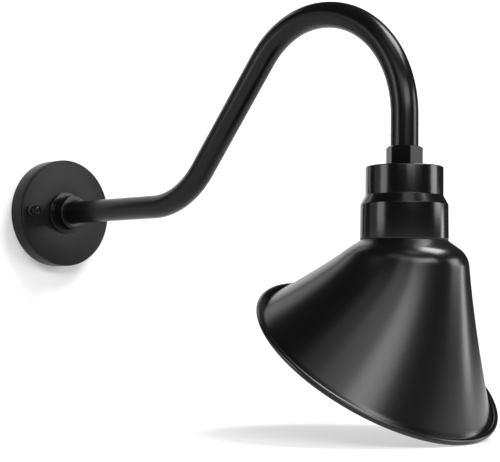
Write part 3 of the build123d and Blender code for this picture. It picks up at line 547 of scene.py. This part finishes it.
def hexagon_line(apothem, rounding):
    """A hexagon's outline with rounded corners, as (x, y) points."""
    points = []
    for k in range(6):
        facing = radians(nut_turn + 60 * k)
        centre_out = (apothem - rounding) / cos(radians(30))
        cx, cy = centre_out * cos(facing), centre_out * sin(facing)
        for i in range(corner_steps + 1):
            a = facing + radians(-30 + 60 * i / corner_steps)
            points.append((cx + rounding * cos(a), cy + rounding * sin(a)))
        ahead = radians(nut_turn + 60 * (k + 1))
        nx = centre_out * cos(ahead) + rounding * cos(ahead - radians(30))
        ny = centre_out * sin(ahead) + rounding * sin(ahead - radians(30))
        x, y = points[-1]
        points += [(x + (nx - x) * i / flat_steps, y + (ny - y) * i / flat_steps)
                   for i in range(1, flat_steps)]
    return points


hexagon = hexagon_line(nut_flats / 2, corner_round)


def circle_ring(radius, height):
    """The hexagon's points drawn in to a circle at one height."""
    return [(head_x + x * radius / hypot(x, y), y * radius / hypot(x, y), height) for x, y in hexagon]


def chamfered_ring(height, edge, slope):
    """The hexagon's points, which climb by a slope where they stand out past the edge of a chamfer."""
    return [(head_x + x, y, height + slope * max(0.0, hypot(x, y) - edge)) for x, y in hexagon]


lock_nut = skin("aim_lock_nut_body", [
    circle_ring(tube_hole, nut_top), circle_ring(tube_hole, nut_low), circle_ring(low_edge, nut_low),
    chamfered_ring(nut_low, low_edge, low_slope), chamfered_ring(nut_top, top_edge, -top_slope),
    circle_ring(top_edge, nut_top)], 16)
satin_hardware = painted("satin_black_hardware", (0.004, 0.004, 0.0043), roughness=0.18, patches=0.04,
                         dust=0.006, ripple=360, depth=0.006, shine=0.1)
fit(lock_nut, "lock_nut", "black_paint", satin_hardware, "aim_lock_nut")

# ---- shade cap ----
# A die-cast aluminium cap with a narrow upper part, a sloping step and a wider skirt, in gloss black.
# Inside it has a threaded boss for the arm, two pillars for the socket's strap and three screw lugs.
cap_top, cap_upper, cap_step_top, cap_step_low = 20.9, 36.2, -5.9, -14.4
cap_lower, cap_mouth, cap_low, cap_roof = 40.8, 41.1, -46.6, 16.5
cap_upper_wall, cap_step_wall, cap_lip_wall, boss_radius, boss_low = 2.6, 1.9, 1.6, 18.0, -1.0
pillar_offset, pillar_radius, pillar_hole, pillar_low, pillar_root = 24.5, 3.6, 1.55, -11.0, 17.0
screw_circle, lug_radius, lug_depth, lug_steps = 34.6, 4.3, 5.2, 32
head_stand = stand((head_x, 0, 0), (1, 0, 0), (0, 1, 0), (0, 0, 1))
cap_outline = soften([
    (tube_hole, cap_top, 0.3), (cap_upper, cap_top, 1.3), (cap_upper, cap_step_top, 0.8),
    (cap_lower, cap_step_low, 1.1), (cap_mouth, cap_low, 0.5), (cap_mouth - cap_lip_wall, cap_low, 0.3),
    (cap_mouth - cap_step_wall, cap_step_low, 1.5), (cap_upper - cap_upper_wall, cap_step_top, 1.5),
    (cap_upper - cap_upper_wall, cap_roof, 2.0), (boss_radius, cap_roof, 1.5),
    (boss_radius, boss_low, 0.5), (tube_hole, boss_low, 0.3)], 6)
cap = spun("shade_cap_shell", head_stand, cap_outline, 160)
cast_black = painted("gloss_black_casting", (0.002, 0.002, 0.0022), roughness=0.19, patches=0.03,
                     dust=0.002, ripple=260, depth=0.003, shine=0.36)
fit(cap, "head", "gloss_black_enamel", cast_black, "shade_cap")
pillar_outline = soften([
    (pillar_hole, pillar_low, 0.2), (pillar_radius, pillar_low, 0.4),
    (pillar_radius, pillar_root, 0), (pillar_hole, pillar_root, 0)], 3)
for side, label in ((-1, "far"), (1, "near")):
    pillar_stand = stand((head_x + side * pillar_offset, 0, 0), (1, 0, 0), (0, 1, 0), (0, 0, 1))
    pillar = spun("cap_pillar_" + label, pillar_stand, pillar_outline, 40)
    fit(pillar, "head", "gloss_black_enamel", cast_black)
# A lug from bottom to top: (height, how far its side draws in there).
lug_line = ((-37.2, 1.3), (-37.2, 0.3), (-36.9, 0), (-16.5, 0), (-15.0, 0.9), (-15.0, 2.4))
screw_turns = [radians(90 + 120 * k) for k in range(3)]
for number, turn in enumerate(screw_turns, 1):
    across = (cos(turn), sin(turn), 0)
    lug_stand = stand((head_x + screw_circle * cos(turn), screw_circle * sin(turn), 0),
                      across, (-sin(turn), cos(turn), 0), (0, 0, 1))
    rings = []
    for h, inset in lug_line:
        r = lug_radius - inset
        ring = []
        for j in range(lug_steps + 1):
            a = pi / 2 + pi * j / lug_steps
            ring.append(on(lug_stand, r * cos(a), r * sin(a), h))
        ring += [on(lug_stand, lug_depth, -r, h), on(lug_stand, lug_depth, r, h)]
        rings.append(ring)
    lug = skin("cap_lug_%d" % number, rings, 40, ends_meet=False)
    fit(lug, "head", "gloss_black_enamel", cast_black)

# ---- cap gasket ----
# A thin ring of black rubber between the cap's lower edge and the shade's level ledge.
# From outside it shows only as a dark line.
ledge_z, cap_gasket_inner, cap_gasket_outer = -47.4, 39.3, 40.8
cap_gasket = spun("cap_gasket_ring", head_stand, soften([
    (cap_gasket_inner, ledge_z, 0.15), (cap_gasket_outer, ledge_z, 0.2),
    (cap_gasket_outer, cap_low, 0.2), (cap_gasket_inner, cap_low, 0.15)], 3), 160)
fit(cap_gasket, "head", "foam_rubber", rubber, "cap_gasket")

# ---- shade ----
# Spun and pressed from 1.2 mm steel: level at the cap, round at the front shoulder, tilted at the rim.
# The rim has a flat gutter and a bead rolled round a wire, and the neck has a collar with a screw flange.
sheet, ledge_radius, near_ledge = 1.2, 40.6, 0.02
collar_radius, collar_top, collar_hole, collar_round = 39.2, -37.2, 29.0, 0.5
crown_slope, shoulder_radius, front_lean = radians(34.65), 21.5, radians(2.0)
side_pinch, side_inset = 0.089, 1.25
rim_centre, rim_tilt, foot_radius, gutter = Vector((506.8, 0, -158.1)), radians(34.26), 118.4, 1.2
bead_radius, bead_circle, bead_start, bead_sweep = 2.9, 122.4, radians(172), radians(332)
shade_around, crown_steps, shoulder_steps, front_steps, bead_steps = 224, 6, 16, 46, 28
rim_across = Vector((cos(rim_tilt), 0, -sin(rim_tilt)))
rim_up = Vector((sin(rim_tilt), 0, cos(rim_tilt)))
rim_stand = stand(rim_centre, rim_across, (0, 1, 0), rim_up)
foot_centre = rim_centre - rim_up * (gutter / 2)
foot_back = foot_centre - rim_across * foot_radius
foot_front = foot_centre + rim_across * foot_radius
ledge_back = Vector((head_x - ledge_radius, 0, ledge_z))
ledge_front = Vector((head_x + ledge_radius, 0, ledge_z))
crown_way = Vector((cos(crown_slope), 0, -sin(crown_slope)))
front_way = Vector((sin(front_lean), 0, -cos(front_lean)))
shoulder_turn = pi / 2 - front_lean - crown_slope
span = foot_front - ledge_front
crossing = crown_way.x * front_way.z - crown_way.z * front_way.x
shoulder_cut = shoulder_radius * tan(shoulder_turn / 2)
crown_length = (span.x * front_way.z - span.z * front_way.x) / crossing - shoulder_cut
front_length = (crown_way.x * span.z - crown_way.z * span.x) / crossing - shoulder_cut
shoulder_length = shoulder_radius * shoulder_turn
shoulder_end = crown_length + shoulder_length
outline_length = shoulder_end + front_length
shoulder_centre = (ledge_front + crown_way * crown_length
                   - Vector((sin(crown_slope), 0, cos(crown_slope))) * shoulder_radius)


def front_point(distance, inset):
    """A point of the shade's front line, moved inward by the inset."""
    if distance <= crown_length:
        out = Vector((sin(crown_slope), 0, cos(crown_slope)))
        return ledge_front + crown_way * distance - out * inset
    if distance <= shoulder_end:
        angle = crown_slope + (distance - crown_length) / shoulder_radius
        return shoulder_centre + Vector((sin(angle), 0, cos(angle))) * (shoulder_radius - inset)
    out = Vector((cos(front_lean), 0, sin(front_lean)))
    past = distance - shoulder_end
    return shoulder_centre + out * (shoulder_radius - inset) + front_way * past


def back_point(share, inset):
    """A point of the shade's straight back line, moved inward by the inset."""
    along = foot_back - ledge_back
    out = Vector((along.z, 0, -along.x)).normalized()
    return ledge_back + along * share - out * inset


def shade_ring(distance, inset):
    """One oval cross-section, from the front line to the back line and pinched at its sides."""
    share = distance / outline_length
    front, back = front_point(distance, inset), back_point(share, inset)
    half = (front - back).length / 2
    full = (front_point(distance, 0) - back_point(share, 0)).length / 2
    side = full * (1 - side_pinch * sin(pi * sqrt(share))) - inset * side_inset
    across = (front - back).normalized()
    oval = stand((front + back) / 2, across, (0, 1, 0), (0, 0, 1))
    return [on(oval, half * cos(2 * pi * j / shade_around), side * sin(2 * pi * j / shade_around), 0)
            for j in range(shade_around)]


rings = [round_ring(head_stand, r, z, shade_around) for r, z in soften([
    (collar_hole, collar_top - sheet, 0.2), (collar_hole, collar_top, 0.2),
    (collar_radius, collar_top, 0.8)], 4)]
rings += [round_ring(head_stand, r, z, shade_around) for r, z in (
    (collar_radius, ledge_z + collar_round),
    (collar_radius + 0.3 * collar_round, ledge_z + 0.3 * collar_round),
    (collar_radius + collar_round, ledge_z))]
distances = [near_ledge] + [crown_length * k / crown_steps for k in range(1, crown_steps)]
distances += [crown_length + shoulder_length * k / shoulder_steps for k in range(shoulder_steps + 1)]
distances += [shoulder_end + front_length * k / front_steps for k in range(1, front_steps)]
rings += [shade_ring(d, 0) for d in distances]
# The rim from inside out: a small round at the wall's foot, the gutter's floor, the bead, and back below.
gutter_end = 119.2
rim_outline = [
    (foot_radius - 0.35, 0.55), (foot_radius - 0.1, 0.2), (foot_radius + 0.3, 0.03), (gutter_end, 0.0)]
for k in range(bead_steps + 1):
    a = bead_start - bead_sweep * k / bead_steps
    rim_outline.append((bead_circle + bead_radius * cos(a), bead_radius * sin(a)))
rim_outline += [
    (gutter_end + 0.15, 0.05 - gutter), (foot_radius + 0.2, -gutter), (foot_radius - 0.7, -gutter),
    (foot_radius - sheet, 0.2 - gutter)]
rings += [round_ring(rim_stand, r, h, shade_around) for r, h in rim_outline]
rings += [shade_ring(d, sheet) for d in reversed(distances)]
rings += [round_ring(head_stand, r, z, shade_around) for r, z in (
    (collar_radius - sheet, ledge_z - 1.25 * sheet),
    (collar_radius - sheet, collar_top - sheet - collar_round),
    (collar_radius - sheet - collar_round, collar_top - sheet))]
shade = skin("shade_shell", rings, 34)
gloss_shade = painted("gloss_black_shade", (0.002, 0.002, 0.0022), roughness=0.245, patches=0.03,
                      dust=0.002, ripple=180, depth=0.005, shine=0.36)
fit(shade, "head", "black_paint_shade", gloss_shade, "shade")

# ---- shade screws ----
# Three zinc plated pan head screws come up through the collar's flange into the cap's lugs.
# They hang the shade on the cap and squeeze the thin gasket.
shank_radius, shank_length, screw_around, cross_width = 1.75, 8.0, 48, 20
head_line = soften([(3.2, 0.0, 0.15), (3.2, 1.4, 0.7), (2.2, 2.15, 0.9)], 4)
# The cross recess, mouth then floor: (height, radius between the arms, how much further they reach).
cross_line = ((2.2, 0.55, 1.35), (1.2, 0.45, 1.25))
for number, turn in enumerate(screw_turns, 1):
    screw_stand = stand((head_x + screw_circle * cos(turn), screw_circle * sin(turn), collar_top - sheet),
                        (1, 0, 0), (0, -1, 0), (0, 0, -1))
    rings = [round_ring(screw_stand, r, h, screw_around)
             for r, h in [(shank_radius, -shank_length), (shank_radius, 0.0)] + head_line]
    for h, core, reach in cross_line:
        ring = []
        for j in range(screw_around):
            a = 2 * pi * j / screw_around
            off_arm = min(abs((degrees(a) + 45) % 90 - 45), cross_width) / cross_width
            r = core + reach * (1 - off_arm)
            ring.append(on(screw_stand, r * cos(a), r * sin(a), h))
        rings.append(ring)
    screw = skin("shade_screw_%d" % number, rings, 30, ends_meet=False)
    fit(screw, "head", "zinc_steel", zinc, "shade_screws")

# ---- lamp socket ----
# A glazed porcelain body riveted to a zinc plated strap, which two screws hold on the cap's pillars.
# Inside is a nickel plated shell with a rolled thread for a medium screw lamp, and a sprung brass tongue.
dressed("socket_strap", zinc)
dressed("strap_screws", zinc)
dressed("socket_rivets", zinc)
brass = speckled("spring_brass", (0.72, 0.5, 0.2), (0.62, 0.42, 0.17),
                 scale=300, roughness=0.3, spread=0.14, depth=0.02, metal=1.0)
dressed("hot_terminal", brass)
dressed("neutral_terminal", zinc)
dressed("socket_leads", black_jacket)
dressed("centre_contact", brass)
porcelain = speckled("glazed_porcelain", (0.8, 0.79, 0.75), (0.74, 0.73, 0.69),
                     scale=120, roughness=0.14, spread=0.05, depth=0.03)
body_top, body_floor, body_mouth = -12.2, -17.6, -40.5
body_axis, body_bore, body_radius, body_bevel = 0.05, 13.95, 19.8, 2.0
porcelain_outline = soften([
    (body_axis, body_top, 0), (body_radius - body_bevel, body_top, 0.5),
    (body_radius, body_top - body_bevel, 0.8), (body_radius, body_mouth, 1.4),
    (body_bore, body_mouth, 0.5), (body_bore, body_floor, 0.6), (body_axis, body_floor, 0)], 5)
porcelain_body = spun("socket_porcelain", head_stand, porcelain_outline, 96)
fit(porcelain_body, "head", "porcelain", porcelain, "socket_body")
nickel = speckled("nickel_shell", (0.66, 0.63, 0.57), (0.54, 0.52, 0.48),
                  scale=240, roughness=0.24, spread=0.14, depth=0.02, metal=1.0)
shell_low, shell_high, shell_steps, shell_around, fade_steps = -39.6, -21.4, 60, 72, 6
shell_middle, shell_wave, shell_pitch, shell_thick = 13.52, 0.285, 3.63, 0.294
rings = []
for offset, order in ((0.0, range(shell_steps + 1)), (shell_thick, range(shell_steps, -1, -1))):
    for i in order:
        z = shell_low + (shell_high - shell_low) * i / shell_steps
        fade = min(1.0, i / fade_steps, (shell_steps - i) / fade_steps)
        ring = []
        for j in range(shell_around):
            a = 2 * pi * j / shell_around
            wave = shell_wave * cos(2 * pi * (z - shell_low) / shell_pitch - a) * fade
            r = shell_middle + wave + offset
            ring.append(on(head_stand, r * cos(a), r * sin(a), z))
        rings.append(ring)
shell = skin("socket_screw_shell", rings, 50)
fit(shell, "head", "nickel_shell", nickel, "socket_shell")

# ---- studio ----
# A white paper floor and wall, ten soft lamps, and a camera where the photograph was taken from.
# The papers glow to the camera and to reflections only, so they are white and keep the object's shadow.
sensor_width, focal_length = 36.0, 91.145
camera_place = Vector((1.258425, -0.937068, -0.108998))
turn_right, raise_up, roll = radians(44.538), radians(-3.345), radians(0.641)
behind = Vector((sin(turn_right) * cos(raise_up), -cos(turn_right) * cos(raise_up), sin(raise_up)))
right = Vector((cos(turn_right), sin(turn_right), 0))
up = behind.cross(right)
right_rolled = right * cos(roll) + up * sin(roll)
up_rolled = up * cos(roll) - right * sin(roll)
lens = bpy.data.cameras.new("camera")
lens.sensor_width = sensor_width
lens.sensor_fit = "HORIZONTAL"
lens.lens = focal_length
lens.clip_start = 0.01
camera = bpy.data.objects.new("camera", lens)
bpy.context.scene.collection.objects.link(camera)
turned = Matrix((right_rolled, up_rolled, behind)).transposed().to_4x4()
camera.matrix_world = Matrix.Translation(camera_place) @ turned
bpy.context.scene.camera = camera


def paper(name, whiteness, glow_strength):
    """White paper, seen from its front only. It stays white to the camera and to reflections."""
    card = bpy.data.materials.new(name)
    card.use_nodes = True
    tree = card.node_tree
    tree.nodes.clear()
    out = add(tree, "ShaderNodeOutputMaterial")
    matt = add(tree, "ShaderNodeBsdfDiffuse")
    matt.inputs["Color"].default_value = (whiteness, whiteness, whiteness, 1)
    glow = add(tree, "ShaderNodeEmission", Strength=glow_strength)
    total = add(tree, "ShaderNodeAddShader")
    path = add(tree, "ShaderNodeLightPath")
    seen = add(tree, "ShaderNodeMath", operation="MAXIMUM")
    through = add(tree, "ShaderNodeMath", operation="MAXIMUM")
    pick = add(tree, "ShaderNodeMixShader")
    side = add(tree, "ShaderNodeNewGeometry")
    clear = add(tree, "ShaderNodeBsdfTransparent")
    one_sided = add(tree, "ShaderNodeMixShader")
    link = tree.links.new
    link(matt.outputs[0], total.inputs[0])
    link(glow.outputs[0], total.inputs[1])
    link(path.outputs["Is Camera Ray"], seen.inputs[0])
    link(path.outputs["Is Glossy Ray"], seen.inputs[1])
    link(seen.outputs[0], through.inputs[0])
    link(path.outputs["Is Transmission Ray"], through.inputs[1])
    link(through.outputs[0], pick.inputs[0])
    link(matt.outputs[0], pick.inputs[1])
    link(total.outputs[0], pick.inputs[2])
    link(side.outputs["Backfacing"], one_sided.inputs[0])
    link(pick.outputs[0], one_sided.inputs[1])
    link(clear.outputs[0], one_sided.inputs[2])
    link(one_sided.outputs[0], out.inputs["Surface"])
    return card


def sheet_of_paper(name, corners, faces, card):
    """A flat sheet that is part of the studio and not of the object."""
    data = bpy.data.meshes.new(name)
    data.from_pydata(corners, [], faces)
    piece = bpy.data.objects.new(name, data)
    bpy.context.scene.collection.objects.link(piece)
    piece.data.materials.append(card)


floor_z, floor_back, floor_front, floor_side = -0.2302, -5, 7, 6
sheet_of_paper(
    "floor", [(floor_back, -floor_side, floor_z), (floor_front, -floor_side, floor_z),
              (floor_front, floor_side, floor_z), (floor_back, floor_side, floor_z)],
    [(0, 1, 2, 3)], paper("floor_paper", 0.55, 0.5))

# The wall has the round opening of an outlet box behind the canopy. It ends just outside the picture on
# the left, and on the right where the shade's side would begin to reflect it too brightly.
wall_x, wall_left, wall_right, wall_top, box_opening = -0.0005, -0.1, 1.02, 0.55, 0.05
wall_corners = [(wall_left, floor_z), (wall_left, wall_top), (wall_right, floor_z), (wall_right, wall_top)]
opening_steps, tiny = 64, 1e-9
turns = sorted([2 * pi * k / opening_steps for k in range(opening_steps)]
               + [atan2(z, y) % (2 * pi) for y, z in wall_corners])
points = []
for turn in turns:
    sideways = (wall_right if cos(turn) > 0 else -wall_left) / max(abs(cos(turn)), tiny)
    upright = (wall_top if sin(turn) > 0 else -floor_z) / max(abs(sin(turn)), tiny)
    for reach in (box_opening, min(sideways, upright)):
        points.append((wall_x, reach * cos(turn), reach * sin(turn)))
count = len(turns)
strips = [(2 * i, 2 * i + 1, (2 * i + 3) % (2 * count), (2 * i + 2) % (2 * count)) for i in range(count)]
sheet_of_paper("wall", points, strips, paper("wall_paper", 0.8, 0.08))

# The room is dark, because light from all round would turn the black paint grey.
world = bpy.data.worlds.new("studio")
bpy.context.scene.world = world
world.use_nodes = True
room = world.node_tree.nodes["Background"]
room.inputs["Color"].default_value = (1, 1, 1, 1)
room.inputs["Strength"].default_value = 0.05


def softbox(name, bearing, height, distance, size, brightness):
    """A soft lamp that faces the head from a bearing and a height in degrees. Brightness 1 looks white."""
    glow = bpy.data.lights.new(name, "AREA")
    glow.shape = "RECTANGLE"
    glow.size, glow.size_y = size
    glow.energy = brightness * pi * size[0] * size[1]
    holder = bpy.data.objects.new(name, glow)
    level = Vector((cos(radians(bearing)), sin(radians(bearing)), 0))
    away = level * cos(radians(height)) + Vector((0, 0, sin(radians(height))))
    holder.location = Vector((head_x * MM, 0, 0)) + away * distance
    holder.rotation_euler = away.to_track_quat("Z", "Y").to_euler()
    holder.visible_camera = False
    bpy.context.scene.collection.objects.link(holder)


for name, bearing, height, distance, size, brightness in (
        ("overhead_softbox", 45, 64, 2.0, (1.0, 0.9), 17.0),
        ("top_fill", -35, 62, 2.0, (0.8, 0.7), 1.8),
        ("front_softbox_a", -12, 25, 2.0, (0.65, 0.55), 8.5),
        ("front_softbox_b", -32, 23, 2.0, (0.8, 0.62), 8.6),
        ("front_softbox_c", -56, 29, 2.0, (0.9, 0.8), 2.4),
        ("fill_softbox", -80, 40, 2.0, (0.8, 0.7), 0.9),
        ("right_softbox_a", 44, 14, 1.8, (0.75, 0.7), 7.0),
        ("right_softbox_b", 63, -1, 1.8, (0.35, 0.35), 7.0),
        ("left_softbox", -115, 11, 1.5, (0.55, 0.7), 5.2),
        ("left_fill", -140, 5, 1.8, (0.7, 1.2), 0.6)):
    softbox(name, bearing, height, distance, size, brightness)

bpy.context.scene.view_settings.view_transform = "Standard"
